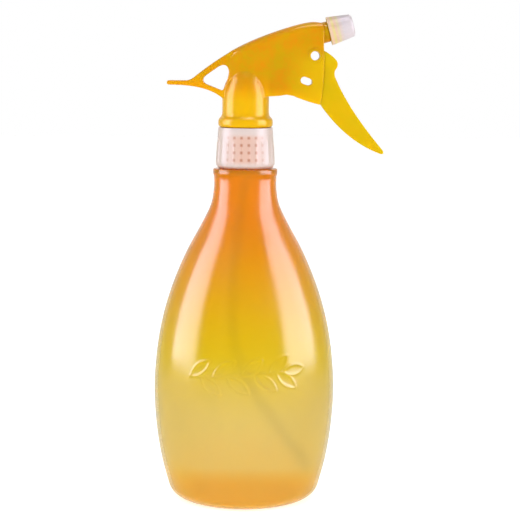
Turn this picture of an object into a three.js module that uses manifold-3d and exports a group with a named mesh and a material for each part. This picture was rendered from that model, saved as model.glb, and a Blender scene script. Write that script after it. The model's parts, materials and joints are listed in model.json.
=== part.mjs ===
// Hand mister: a blow-moulded bottle and a screw-on trigger sprayer, in millimetres, +Z up.
// The nozzle points towards +X. The origin is on the standing plane, below the middle of the object's length.
// The sprayer is a one-piece moulded body with a neck tube, riser, pump cylinder, outlet barrel,
// two side plates and a rear hand rest.
// The trigger hangs between the side plates and pushes a sprung piston into the cylinder.
// Water comes up the dip tube, past the inlet ball into the cylinder, and leaves past the sprung outlet ball,
// along the barrel and through the swirl core and the orifice of the screw-on nozzle cap.
import * as THREE from "three";
import { mergeVertices } from "three/addons/utils/BufferGeometryUtils.js";
import Module from "manifold-3d";

const wasm = await Module();
wasm.setup();

// ---------------------------------------------------------------- driving dimensions

const AXIS_X = -12.2; // the bottle's axis, so that the origin is in the middle of the length
const ROUND = 30; // sides of a large round part
const SMALL_ROUND = 14; // sides of a small one
const FIT = 0.15; // radial clearance of pieces that sit in one another
const GAP = 0.1; // gap between faces that touch

const BOTTLE = {
  wall: 1.2,
  ledgeZ: 173.2, // top of the shoulder, where the collar comes down to
  ledgeRadius: 16.5,
  neckRadius: 11.9,
  boreRadius: 10.2,
  rimZ: 190,
  ringInner: 26.5, // flat ring that the bottle stands on
  ringOuter: 31,
  baseCorner: 9,
  puntHeight: 4.5,
};
// Radius at height of the bottle's side, from the base corner up to the shoulder.
const BOTTLE_SIDE = [
  [39.6, 6.3],
  [43.2, 20],
  [46, 37],
  [47.25, 57],
  [46, 77],
  [42.9, 95],
  [37.9, 112],
  [30.6, 129.5],
  [22.7, 144.2],
  [17.8, 154.5],
  [16.3, 163],
  [16.5, 172.2],
];

const NECK_THREAD = { ridge: 0.75, pitch: 3.8, turns: 2.75, startZ: 177 };
const COLLAR = {
  bottomZ: 173.6,
  shoulderZ: 176.6,
  topZ: 194.4,
  bottomRadius: 13.9,
  shoulderRadius: 15.25,
  topRadius: 14.1,
  holeRadius: 10.9,
  lidZ: 192.75, // underside of the lid
  seatRadius: 13,
  seatZ: 189.8,
  innerRadius: 13.55,
  ridge: 0.65, // its crest clears the neck thread's, so that the head also lifts straight off
  threadZ: 178.5,
  turns: 2,
  ribs: 24,
  ribDepth: 0.35,
  ribWidth: 1.2,
  ribLength: 11.5,
};
const GASKET = { inner: 10.4, outer: 12.4, bottomZ: 190.1, topZ: 191.1 };

const INTAKE = {
  flangeRadius: 11.9,
  flangeZ: 191.2,
  flangeTopZ: 192.6,
  skirtRadius: 9.45,
  skirtTopZ: 198.5,
  hubRadius: 4.2,
  hubTopZ: 200.7,
  socketRadius: 3.6,
  socketZ: 182.4,
  seatZ: 194.3, // the ball's seat
  seatRadius: 1.3,
  chamberRadius: 2.3,
  chamberTopZ: 199.3,
  mouthRadius: 3.2, // counterbore for the valve cap
};
const VALVE_CAP_TOP_Z = 207;
const INLET_BALL_RADIUS = 1.9;
const TUBE = { outer: 2.3, inner: 1.7 };
// The dip tube's own curl: it bows back, then reaches the front corner of the base.
const TUBE_ROUTE = [
  [0, 192.5],
  [0, 181],
  [-1, 160],
  [-4.5, 132],
  [-6.5, 105],
  [-4.5, 79],
  [4, 57.5],
  [15, 41],
  [26.5, 25],
  [34.5, 13],
];

const NECK = {
  spigotRadius: 10.5,
  spigotZ: 192.7,
  beadZ: 194.6,
  beadTopZ: 199.4,
  beadRadius: 14.15,
  radius: 12.1,
  boreRadius: 9.6,
};
const RISER = { radius: 4.4, boreRadius: 2.8, bottomZ: 201, topZ: 231.5 };

const SHELL_WIDTH = 14;
const PLATE = 1.3; // side plate thickness
const TAIL_WIDTH = 10;
const TOP_BEVEL = 4.2; // on the shell's upper edges
// The bay between the side plates, which runs out of the shell in front and below.
const BAY = { backX: 12.6, frontX: 50, bottomZ: 200, belowBarrel: 4.2 };

const BARREL = {
  startZ: 232.6, // height of its axis above the bottle's axis
  tilt: THREE.MathUtils.degToRad(15),
  radius: 5.35,
  shoulder: 43.9, // distances along the axis from there
  end: 52.5,
  spigotRadius: 4.6,
  ridge: 0.6,
  boreRadius: 3,
  seat: 30,
  seatRadius: 1.3,
};
const OUTLET_BALL_RADIUS = 2.3;
const NOZZLE = {
  back: 44.1,
  front: 57.1,
  backRadius: 7.4,
  frontRadius: 5.65,
  boreRadius: 5.55,
  ridge: 0.55,
  floor: 53.5,
  orificeRadius: 0.45,
  pitch: 2.6,
  threadStart: 45.6,
  spigotTurns: 2,
  capTurns: 1.2,
};

const CYLINDER = {
  axisZ: 218.5,
  portRadius: 1.2, // way through from the riser
  radius: 5.8,
  boreRadius: 4.7,
  backX: 5.6,
  frontX: 19.4,
};
const PISTON = {
  headX: 14.2,
  headEndX: 19,
  headRadius: 4.2,
  grooveRadius: 3.5,
  rodRadius: 2.6,
  crownX: 26.6,
  crownThickness: 1.4,
  crownWidth: 10,
  crownBottomZ: 211.2,
  crownTopZ: 224.5,
};
const SEAL_X = [14.9, 17.2]; // cup seal and vent seal on the piston
const SEAL_WIDTH = 1;
const RETURN_SPRING = { radius: 3.2, wire: 0.3, turns: 4 };
const OUTLET_SPRING = { radius: 1.9, wire: 0.2, turns: 4 };
const CORE = { start: 41.3, shoulder: 51.4, end: 53.1, tipRadius: 1.2, flutes: 3, fluteWidth: 0.9 };

const PIVOT = { x: 35.6, z: 231.5, bore: 2.35, sleeve: 2.8, head: 3.6, headThickness: 0.5 };
const TRIGGER = { width: 10.6, wall: 1.4, hubRadius: 4.1, shelf: 3 };
const PORT = { x: 31.2, z: 218.5, length: 6.2, height: 3.7, fall: 20 }; // oval window, falling to the front
const NOSE = { x: 29.8, z: 212.9, radius: 1.5 };

// ---------------------------------------------------------------- solids

const MERGE = 1e-3;

// A closed three.js geometry as a manifold-3d solid with its faces pointing out.
function solid(geometry) {
  const bare = geometry.index ? geometry.toNonIndexed() : geometry.clone();
  bare.deleteAttribute("normal");
  bare.deleteAttribute("uv");
  const merged = mergeVertices(bare, MERGE);
  const triangles = [];
  for (let i = 0; i < merged.index.count; i += 3) {
    const [a, b, c] = merged.index.array.slice(i, i + 3);
    if (a !== b && b !== c && c !== a) triangles.push([a, b, c]);
  }
  const build = (faces) =>
    new wasm.Manifold(
      new wasm.Mesh({
        numProp: 3,
        vertProperties: merged.attributes.position.array,
        triVerts: new Uint32Array(faces.flat()),
      }),
    );
  const made = build(triangles);
  return made.volume() < 0 ? build(triangles.map(([a, b, c]) => [a, c, b])) : made;
}

// The geometry of a manifold-3d solid.
function geometryOf(made) {
  const mesh = made.getMesh();
  return new THREE.BufferGeometry()
    .setAttribute("position", new THREE.BufferAttribute(mesh.vertProperties, 3))
    .setIndex(new THREE.BufferAttribute(mesh.triVerts, 1));
}

const join = (...solids) => solids.reduce((sum, next) => sum.add(next));
const cut = (from, ...tools) => tools.reduce((rest, tool) => rest.subtract(tool), from);

// A profile of [radius, height] turned about Z. It starts and ends on the axis, or closes on itself.
function turned(profile, sides = ROUND) {
  const points = profile.map(([radius, height]) => new THREE.Vector2(radius, height));
  if (points[0].x > 0) points.push(points[0].clone());
  return solid(new THREE.LatheGeometry(points, sides).rotateX(Math.PI / 2));
}

// A profile of [distance, radius] turned about X.
function turnedX(profile, sides = SMALL_ROUND) {
  const points = profile.map(([distance, radius]) => new THREE.Vector2(radius, distance));
  if (points[0].x > 0) points.push(points[0].clone());
  return solid(new THREE.LatheGeometry(points, sides).rotateZ(-Math.PI / 2));
}

// A cylinder of one radius between two points on a line along X, Y or Z.
const rodZ = (radius, x, from, to, sides = SMALL_ROUND) =>
  turned([[0, from], [radius, from], [radius, to], [0, to]], sides).translate([x, 0, 0]);
const rodX = (radius, from, to, z = 0, sides = SMALL_ROUND) =>
  turnedX([[from, 0], [from, radius], [to, radius], [to, 0]], sides).translate([0, 0, z]);
const rodY = (radius, x, z, halfLength, sides = SMALL_ROUND) =>
  solid(new THREE.CylinderGeometry(radius, radius, 2 * halfLength, sides).translate(x, 0, z));

// A shape drawn in the XZ plane, thickened evenly to both sides of it.
// A bevel rounds its edges inside its outline.
function plate(shape, width, bevel = 0, bevelSegments = 2) {
  const geometry = new THREE.ExtrudeGeometry(shape, {
    depth: width - 2 * bevel,
    curveSegments: 5,
    bevelEnabled: bevel > 0,
    bevelThickness: bevel,
    bevelSize: bevel,
    bevelOffset: -bevel,
    bevelSegments,
  });
  geometry.translate(0, 0, bevel - width / 2);
  return solid(geometry.rotateX(Math.PI / 2));
}

// A shape through corner points.
const polygon = (corners) => new THREE.Shape(corners.map(([x, z]) => new THREE.Vector2(x, z)));

const circle = (radius, ShapeOrPath = THREE.Shape) =>
  new ShapeOrPath().absarc(0, 0, radius, 0, 2 * Math.PI);

// A round wire along a curve.
function wire(curve, radius, steps, curveSegments = 3) {
  return solid(
    new THREE.ExtrudeGeometry(circle(radius), {
      steps,
      curveSegments,
      extrudePath: curve,
      bevelEnabled: false,
    }),
  );
}

// A right-hand helix about Z.
class Helix extends THREE.Curve {
  constructor(radius, pitch, turns, start, phase = 0) {
    super();
    Object.assign(this, { radius, pitch, turns, start, phase });
  }

  getPoint(t, target = new THREE.Vector3()) {
    const angle = 2 * Math.PI * this.turns * t + this.phase;
    return target.set(
      this.radius * Math.cos(angle),
      this.radius * Math.sin(angle),
      this.start + this.pitch * this.turns * t,
    );
  }
}

const STEPS_PER_TURN = 12;
const coil = (helix, wireRadius, curveSegments) =>
  wire(helix, wireRadius, Math.round(helix.turns * STEPS_PER_TURN), curveSegments);
const RIDGE = 2; // curve segments of a thread's ridge, which makes it a sharp one

// Turns a solid made about Z so that it lies about X.
const alongX = (made) => made.rotate([0, 90, 0]);

// Moves a solid from the barrel's own frame, with X along its axis, to the sprayer's.
const inBarrel = (made) =>
  made.rotate([0, -THREE.MathUtils.radToDeg(BARREL.tilt), 0]).translate([0, 0, BARREL.startZ]);

// ---------------------------------------------------------------- bottle and closure

function bottle() {
  const { wall, ringInner, ringOuter, baseCorner, puntHeight, ledgeZ, ledgeRadius } = BOTTLE;
  const side = new THREE.SplineCurve(BOTTLE_SIDE.map(([r, z]) => new THREE.Vector2(r, z)));
  const up = THREE.MathUtils.degToRad(-17); // the corner's arc runs into the side's slope
  const corner = new THREE.EllipseCurve(ringOuter, baseCorner, baseCorner, baseCorner, -Math.PI / 2, up);
  const outer = [...corner.getPoints(3), ...side.getPoints(15).slice(1)];
  const innerSteps = 10;
  const inner = [];
  for (let i = 0; i <= innerSteps; i++) {
    const at = side.getPoint((i / innerSteps) * 0.985);
    const along = side.getTangent((i / innerSteps) * 0.985);
    inner.push([at.x - wall * along.y, at.y + wall * along.x]);
  }
  const body = turned([
    [0, puntHeight],
    [ringInner - 6, puntHeight - 1],
    [ringInner - 1.5, 0.8],
    [ringInner, 0],
    ...outer.map((p) => [p.x, p.y]),
    [ledgeRadius - 0.6, ledgeZ],
    [BOTTLE.neckRadius, ledgeZ],
    [BOTTLE.neckRadius, BOTTLE.rimZ],
    [BOTTLE.boreRadius, BOTTLE.rimZ],
    [BOTTLE.boreRadius, ledgeZ - wall],
    ...inner.reverse(),
    [ringOuter + 5.4, 2.8],
    [ringOuter, wall + 0.1],
    [ringInner, wall + 0.3],
    [ringInner - 6, puntHeight - 1 + wall],
    [0, puntHeight + wall],
  ]);
  const thread = coil(
    new Helix(BOTTLE.neckRadius, NECK_THREAD.pitch, NECK_THREAD.turns, NECK_THREAD.startZ),
    NECK_THREAD.ridge,
    RIDGE,
  );
  return join(body, thread);
}

function screwCollar() {
  const c = COLLAR;
  const body = turned([
    [c.bottomRadius, c.bottomZ],
    [c.shoulderRadius, c.shoulderZ],
    [c.topRadius, c.topZ],
    [c.holeRadius, c.topZ],
    [c.holeRadius, c.lidZ],
    [c.seatRadius, c.lidZ],
    [c.seatRadius, c.seatZ],
    [c.innerRadius, c.seatZ],
    [c.innerRadius, c.bottomZ],
  ]);
  const thread = coil(new Helix(c.innerRadius, NECK_THREAD.pitch, c.turns, c.threadZ), c.ridge, RIDGE);
  const slope = Math.atan2(c.shoulderRadius - c.topRadius, c.topZ - c.shoulderZ);
  const rib = solid(new THREE.BoxGeometry(0.8, c.ribWidth, c.ribLength))
    .rotate([0, -THREE.MathUtils.radToDeg(slope), 0])
    .translate([c.shoulderRadius + c.ribDepth - 0.75, 0, c.shoulderZ + c.ribLength / 2]);
  const ribs = Array.from({ length: c.ribs }, (_, i) => rib.rotate([0, 0, ((i + 0.5) * 360) / c.ribs]));
  return join(body, thread, ...ribs);
}

const neckGasket = () =>
  turned([
    [GASKET.inner, GASKET.bottomZ],
    [GASKET.outer, GASKET.bottomZ],
    [GASKET.outer, GASKET.topZ],
    [GASKET.inner, GASKET.topZ],
  ]);

// ---------------------------------------------------------------- intake

// Flanged plug that seals the neck, holds the dip tube and seats the inlet ball.
function intakeFitting() {
  const f = INTAKE;
  return turned(
    [
      [f.socketRadius, f.socketZ],
      [f.socketRadius, f.flangeZ],
      [f.flangeRadius, f.flangeZ],
      [f.flangeRadius, f.flangeTopZ],
      [f.skirtRadius, f.flangeTopZ],
      [f.skirtRadius, f.skirtTopZ],
      [f.skirtRadius - 1.2, f.skirtTopZ],
      [f.skirtRadius - 1.2, f.seatZ],
      [f.hubRadius, f.seatZ],
      [f.hubRadius, f.hubTopZ],
      [f.mouthRadius, f.hubTopZ],
      [f.mouthRadius, f.chamberTopZ],
      [f.chamberRadius, f.chamberTopZ],
      [f.chamberRadius, f.seatZ],
      [f.seatRadius, f.seatZ],
      [f.seatRadius, f.seatZ - 1.5],
      [TUBE.outer + FIT, f.seatZ - 1.5],
      [TUBE.outer + FIT, f.socketZ],
    ],
    ROUND,
  );
}

// Hollow plug that closes the inlet ball's chamber and leads up into the riser.
const inletValveCap = () =>
  turned(
    [
      [INTAKE.seatRadius, INTAKE.chamberTopZ + GAP],
      [INTAKE.mouthRadius - FIT, INTAKE.chamberTopZ + GAP],
      [INTAKE.mouthRadius - FIT, INTAKE.hubTopZ],
      [RISER.boreRadius - FIT, INTAKE.hubTopZ],
      [RISER.boreRadius - FIT, VALVE_CAP_TOP_Z],
      [INTAKE.seatRadius, VALVE_CAP_TOP_Z],
    ],
    SMALL_ROUND,
  );

// Height of a ball's centre above the edge of the round seat that it rests on.
const seated = (ballRadius, seatRadius) => Math.sqrt(ballRadius ** 2 - seatRadius ** 2) + GAP;

const ball = (radius) => solid(new THREE.SphereGeometry(radius, 12, 8));

function dipTube() {
  const route = new THREE.CatmullRomCurve3(TUBE_ROUTE.map(([x, z]) => new THREE.Vector3(x, 0, z)));
  const section = circle(TUBE.outer);
  section.holes.push(circle(TUBE.inner, THREE.Path));
  return solid(
    new THREE.ExtrudeGeometry(section, {
      steps: 24,
      curveSegments: 4,
      extrudePath: route,
      bevelEnabled: false,
    }),
  );
}

// ---------------------------------------------------------------- sprayer body

// Side view of the rear hand rest, with its rounded three-cornered window.
function tailShape() {
  const tail = new THREE.Shape();
  tail.moveTo(-39.6, 216.2);
  tail.bezierCurveTo(-26, 216.2, -17, 214.2, -11, 208.6);
  tail.lineTo(-6, 212);
  tail.lineTo(-4, 230);
  tail.lineTo(-4, 235.4);
  tail.quadraticCurveTo(-13, 230.9, -25.6, 221.1);
  tail.quadraticCurveTo(-28.2, 218.6, -31, 218.5);
  tail.lineTo(-39.6, 218.5);
  tail.absarc(-39.6, 217.35, 1.15, Math.PI / 2, (3 * Math.PI) / 2);
  const window = new THREE.Path();
  window.moveTo(-12.1, 213.4);
  window.lineTo(-20.4, 216.7);
  window.quadraticCurveTo(-23.3, 218.4, -20.8, 220.9);
  window.lineTo(-14.4, 225.4);
  window.quadraticCurveTo(-9.2, 228.4, -8.7, 222.9);
  window.quadraticCurveTo(-9.2, 218.6, -11.2, 214.4);
  tail.holes.push(window);
  return tail;
}

// Side view of the shell. Below and in front it can be drawn larger, to round only its top.
function shellShape(extra) {
  const shell = new THREE.Shape();
  shell.moveTo(-8.6, 212 - extra);
  shell.lineTo(-8.6, 233.2);
  shell.quadraticCurveTo(5, 241, 24, 246.6);
  shell.quadraticCurveTo(32.5, 249.1, 36, 248.7);
  if (extra > 0) {
    shell.lineTo(40 + extra, 247.8);
    shell.lineTo(40 + extra, 206 - extra);
  } else {
    shell.lineTo(39.8, 248.1);
    shell.lineTo(40, 236.4);
    shell.quadraticCurveTo(40.9, 221, 38.4, 206.4);
    shell.quadraticCurveTo(30.5, 208.3, 24.5, 210.9);
    shell.lineTo(21, 211.5);
    shell.lineTo(17.5, 210.9);
    shell.lineTo(8, 210.3);
  }
  return shell;
}

// The oval window through both side plates.
function ovalPort() {
  const radius = PORT.height / 2;
  const reach = PORT.length / 2 - radius;
  const oval = new THREE.Shape();
  oval.absarc(reach, 0, radius, -Math.PI / 2, Math.PI / 2);
  oval.absarc(-reach, 0, radius, Math.PI / 2, (3 * Math.PI) / 2);
  return plate(oval, 2 * SHELL_WIDTH).rotate([0, PORT.fall, 0]).translate([PORT.x, 0, PORT.z]);
}

const neckTube = () =>
  turned([
    [0, NECK.spigotZ],
    [NECK.spigotRadius, NECK.spigotZ],
    [NECK.spigotRadius, NECK.beadZ],
    [NECK.beadRadius - 0.9, NECK.beadZ],
    [NECK.beadRadius, NECK.beadZ + 1],
    [NECK.beadRadius, NECK.beadTopZ - 1.2],
    [NECK.beadRadius - 0.8, NECK.beadTopZ],
    [NECK.radius + 0.5, NECK.beadTopZ + 0.5],
    [NECK.radius, NECK.beadTopZ + 2.2],
    [NECK.radius, 210],
    [11.7, 213.6],
    [10.6, 216.5],
    [9.2, 219.8],
    [7, 223.8],
    [4, 226.3],
    [0, 227.5],
  ]);

function barrelBody() {
  const b = BARREL;
  const tube = turnedX(
    [
      [6, 0],
      [6, b.radius],
      [b.shoulder, b.radius],
      [b.shoulder, b.spigotRadius],
      [b.end - 0.4, b.spigotRadius],
      [b.end, b.spigotRadius - 0.4],
      [b.end, 0],
    ],
    20,
  );
  const helix = new Helix(b.spigotRadius, NOZZLE.pitch, NOZZLE.spigotTurns, NOZZLE.threadStart);
  const thread = alongX(coil(helix, b.ridge, RIDGE));
  return inBarrel(join(tube, thread));
}

function sprayerBody() {
  const plateInner = SHELL_WIDTH - 2 * PLATE;
  const edge = 12; // how far the larger shell outline runs past the real one
  const outside = plate(shellShape(edge), SHELL_WIDTH, TOP_BEVEL, 3).intersect(
    plate(shellShape(0), SHELL_WIDTH + 2),
  );
  const ceiling = (x) => BARREL.startZ + x * Math.tan(BARREL.tilt) - BAY.belowBarrel;
  const bay = plate(
    polygon([
      [BAY.backX, BAY.bottomZ],
      [BAY.frontX, BAY.bottomZ],
      [BAY.frontX, ceiling(BAY.frontX)],
      [BAY.backX, ceiling(BAY.backX)],
    ]),
    plateInner,
  );
  const rib = solid(new THREE.BoxGeometry(14, 2, 12).translate(12, 0, 229));
  const pumpTube = rodX(CYLINDER.radius, 4, CYLINDER.frontX, CYLINDER.axisZ, 18);
  const riser = rodZ(RISER.radius, 0, RISER.bottomZ, RISER.topZ + 1.5);
  const neckCavity = turned([
    [0, NECK.spigotZ - 1],
    [NECK.boreRadius, NECK.spigotZ - 1],
    [NECK.boreRadius, 209.5],
    [RISER.radius + 1, 217],
    [0, 217],
  ]);
  const riserWall = cut(
    rodZ(RISER.radius, 0, RISER.bottomZ, 218),
    rodZ(RISER.boreRadius, 0, RISER.bottomZ - 1, 219),
  );
  const moulding = join(
    cut(outside, bay),
    plate(tailShape(), TAIL_WIDTH, 1, 1),
    neckTube(),
    barrelBody(),
    pumpTube,
    rib,
    riser,
  );
  const bored = cut(
    moulding,
    neckCavity,
    rodZ(RISER.boreRadius, 0, RISER.bottomZ, RISER.topZ),
    rodX(CYLINDER.boreRadius, CYLINDER.backX, CYLINDER.frontX + 1, CYLINDER.axisZ, 18),
    rodX(CYLINDER.portRadius, 0, CYLINDER.backX + 1, CYLINDER.axisZ, 10),
    inBarrel(rodX(BARREL.seatRadius, 0, BARREL.seat + 1, 0, 12)),
    inBarrel(rodX(BARREL.boreRadius, BARREL.seat, BARREL.end + 1)),
    rodY(PIVOT.sleeve + FIT, PIVOT.x, PIVOT.z, SHELL_WIDTH),
    ovalPort(),
  );
  return join(bored, riserWall);
}

// ---------------------------------------------------------------- pump

function pumpPiston() {
  const p = PISTON;
  const [cupX, ventX] = SEAL_X;
  const shaft = turnedX(
    [
      [p.headX, 0],
      [p.headX, p.headRadius],
      [cupX - GAP, p.headRadius],
      [cupX - GAP, p.grooveRadius],
      [cupX + SEAL_WIDTH + GAP, p.grooveRadius],
      [cupX + SEAL_WIDTH + GAP, p.headRadius],
      [ventX - GAP, p.headRadius],
      [ventX - GAP, p.grooveRadius],
      [ventX + SEAL_WIDTH + GAP, p.grooveRadius],
      [ventX + SEAL_WIDTH + GAP, p.headRadius],
      [p.headEndX, p.headRadius],
      [p.headEndX, p.rodRadius],
      [p.crownX + 0.5, p.rodRadius],
      [p.crownX + 0.5, 0],
    ],
    20,
  ).translate([0, 0, CYLINDER.axisZ]);
  const height = p.crownTopZ - p.crownBottomZ;
  const crown = solid(new THREE.BoxGeometry(p.crownThickness, p.crownWidth, height)).translate([
    p.crownX + p.crownThickness / 2,
    0,
    p.crownBottomZ + height / 2,
  ]);
  return join(shaft, crown);
}

const pistonSeal = (x) =>
  turnedX([
    [x, PISTON.grooveRadius + GAP],
    [x, CYLINDER.boreRadius - FIT],
    [x + SEAL_WIDTH, CYLINDER.boreRadius - FIT - 0.15],
    [x + SEAL_WIDTH, PISTON.grooveRadius + GAP],
  ]).translate([0, 0, CYLINDER.axisZ]);

// A coil spring about X that fills the room between two faces.
function springX(spring, from, to) {
  const start = from + spring.wire + GAP;
  const length = to - from - 2 * (spring.wire + GAP);
  return alongX(coil(new Helix(spring.radius, length / spring.turns, spring.turns, start), spring.wire));
}

const returnSpring = () =>
  springX(RETURN_SPRING, CYLINDER.backX, PISTON.headX).translate([
    0,
    0,
    CYLINDER.axisZ,
  ]);

// ---------------------------------------------------------------- trigger

// Side view of the trigger: hub, finger rest bump, long curved lever,
// and the arm and nose that push the piston.
function triggerShape() {
  const t = new THREE.Shape();
  t.moveTo(38.4, 206.7);
  t.lineTo(30.4, 209.9);
  t.absarc(NOSE.x, NOSE.z, NOSE.radius, -Math.PI / 2 - 0.3, Math.PI / 2, true);
  t.lineTo(34, NOSE.z + NOSE.radius);
  t.lineTo(34, 224);
  t.lineTo(PIVOT.x - TRIGGER.hubRadius, PIVOT.z - 2);
  t.absarc(PIVOT.x, PIVOT.z, TRIGGER.hubRadius, Math.PI, Math.PI / 3, true);
  t.quadraticCurveTo(42, 233.8, 45.9, 230);
  t.quadraticCurveTo(48.2, 227.6, 46.7, 225.2);
  t.quadraticCurveTo(45, 223.4, 46, 220.6);
  t.quadraticCurveTo(53, 204.2, 70.9, 183.4);
  t.quadraticCurveTo(72.2, 181.2, 70.2, 181.2);
  t.quadraticCurveTo(52, 187.4, 38.4, 206.7);
  return t;
}

function triggerLever() {
  const { width, wall, shelf } = TRIGGER;
  const inside = width - 2 * wall;
  const headPocket = plate(
    polygon([
      [36.4, 225.6],
      [44.3, 225.6],
      [43.2, 222],
      [47.8, 211],
      [38, NOSE.z + NOSE.radius + 0.3],
      [36.4, NOSE.z + NOSE.radius + 0.3],
    ]),
    inside,
  );
  const lever = new THREE.Shape();
  lever.moveTo(44.1, 220);
  lever.quadraticCurveTo(52.5, 201.5, 68.6, 183.2);
  lever.lineTo(72, 176);
  lever.lineTo(36, 200);
  lever.lineTo(39.4, 206);
  const leverPocket = plate(lever, inside);
  const armPocket = plate(
    polygon([
      [31.5, NOSE.z + NOSE.radius - shelf],
      [41, NOSE.z + NOSE.radius - shelf],
      [41, 202],
      [31.5, 202],
    ]),
    inside,
  );
  return cut(
    plate(triggerShape(), width),
    headPocket,
    leverPocket,
    armPocket,
    rodY(PIVOT.sleeve + FIT, PIVOT.x, PIVOT.z, width),
  );
}

// Hollow rivet that the trigger turns on.
function pivotSleeve() {
  const face = SHELL_WIDTH / 2 + GAP;
  const half = face + PIVOT.headThickness;
  const made = turned(
    [
      [PIVOT.bore, -half],
      [PIVOT.head, -half],
      [PIVOT.head, -face],
      [PIVOT.sleeve, -face],
      [PIVOT.sleeve, face],
      [PIVOT.head, face],
      [PIVOT.head, half],
      [PIVOT.bore, half],
    ],
    SMALL_ROUND,
  );
  return made.rotate([90, 0, 0]).translate([PIVOT.x, 0, PIVOT.z]);
}

// ---------------------------------------------------------------- outlet valve and nozzle
// These are placed in the barrel's own frame.

const outletBallX = BARREL.seat + seated(OUTLET_BALL_RADIUS, BARREL.seatRadius);

const outletSpring = () =>
  springX(OUTLET_SPRING, outletBallX + OUTLET_BALL_RADIUS, CORE.start);

// Fluted stem that spins the water in front of the orifice.
function swirlCore() {
  const radius = BARREL.boreRadius - FIT;
  const stem = turnedX([
    [CORE.start, 0],
    [CORE.start, radius - 0.5],
    [CORE.start + 0.5, radius],
    [CORE.shoulder, radius],
    [CORE.shoulder, CORE.tipRadius],
    [CORE.end, CORE.tipRadius],
    [CORE.end, 0],
  ]);
  const middle = (CORE.start + CORE.shoulder) / 2;
  const flute = solid(new THREE.BoxGeometry(12, CORE.fluteWidth, 1.8).translate(middle, 0, radius));
  const angles = Array.from({ length: CORE.flutes }, (_, i) => (i * 360) / CORE.flutes);
  return cut(stem, ...angles.map((angle) => flute.rotate([angle, 0, 0])));
}

const nozzleSeal = () =>
  turnedX([
    [BARREL.end + GAP, 3.3],
    [BARREL.end + GAP, 4.4],
    [NOZZLE.floor - GAP, 4.4],
    [NOZZLE.floor - GAP, 3.3],
  ]);

function nozzleCap() {
  const n = NOZZLE;
  const shell = turnedX(
    [
      [n.back, n.boreRadius],
      [n.back, n.backRadius - 0.4],
      [n.back + 0.4, n.backRadius],
      [n.front - 1.2, n.frontRadius + 0.15],
      [n.front - 0.4, n.frontRadius - 0.4],
      [n.front, n.frontRadius - 1.4],
      [n.front, 1.8],
      [n.front - 0.6, 1.2],
      [n.front - 0.6, n.orificeRadius],
      [n.floor, n.orificeRadius],
      [n.floor, n.boreRadius],
    ],
    20,
  );
  const start = n.threadStart + n.pitch / 2;
  const thread = alongX(coil(new Helix(n.boreRadius, n.pitch, n.capTurns, start), n.ridge, RIDGE));
  return join(shell, thread);
}

// ---------------------------------------------------------------- assembly

const plastic = (color, roughness = 0.35) =>
  new THREE.MeshStandardMaterial({ color, roughness, metalness: 0 });
const amber = plastic(0xf0ab0a, 0.25);
const bottleAmber = plastic(0xeeb23a, 0.3);
const frosted = plastic(0xece3e0, 0.4);
const natural = plastic(0xf4ecd8, 0.45);
const rubber = plastic(0xd8d2c8, 0.7);
const steel = new THREE.MeshStandardMaterial({ color: 0xb8babd, roughness: 0.3, metalness: 1 });
const glass = plastic(0xdfe6e4, 0.08);

function add(group, name, made, material, position = [0, 0, 0]) {
  const mesh = new THREE.Mesh(geometryOf(made), material);
  mesh.name = name;
  mesh.position.set(...position);
  group.add(mesh);
}

const mister = new THREE.Group();
mister.position.x = AXIS_X;

add(mister, "bottle", bottle(), bottleAmber);
add(mister, "neck_gasket", neckGasket(), rubber);
add(mister, "screw_collar", screwCollar(), frosted);

add(mister, "sprayer_body", sprayerBody(), amber);
add(mister, "intake_fitting", intakeFitting(), natural);
add(mister, "inlet_valve_ball", ball(INLET_BALL_RADIUS), glass, [
  0,
  0,
  INTAKE.seatZ + seated(INLET_BALL_RADIUS, INTAKE.seatRadius),
]);
add(mister, "inlet_valve_cap", inletValveCap(), natural);
add(mister, "dip_tube", dipTube(), natural);

add(mister, "pump_piston", pumpPiston(), natural);
add(mister, "piston_cup_seal", pistonSeal(SEAL_X[0]), rubber);
add(mister, "piston_vent_seal", pistonSeal(SEAL_X[1]), rubber);
add(mister, "return_spring", returnSpring(), steel);

add(mister, "trigger", triggerLever(), amber);
add(mister, "trigger_pivot_sleeve", pivotSleeve(), amber);

const barrel = new THREE.Group();
barrel.position.z = BARREL.startZ;
barrel.rotation.y = -BARREL.tilt;
mister.add(barrel);
add(barrel, "outlet_valve_ball", ball(OUTLET_BALL_RADIUS), glass, [outletBallX, 0, 0]);
add(barrel, "outlet_valve_spring", outletSpring(), steel);
add(barrel, "swirl_core", swirlCore(), natural);
add(barrel, "nozzle_seal", nozzleSeal(), rubber);
add(barrel, "nozzle_cap", nozzleCap(), frosted);

export default mister;
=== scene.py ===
"""Hand mister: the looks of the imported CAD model, in its frame.

Each visible piece is a fine mesh that stands for one CAD node and rides on that node's body. Shapes are
worked out in millimetres about the bottle's axis, which the frame gives, and finish_piece() puts them in the
frame, in metres.
"""

import json
import math

import bmesh
import bpy
from mathutils import Matrix, Vector


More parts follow.
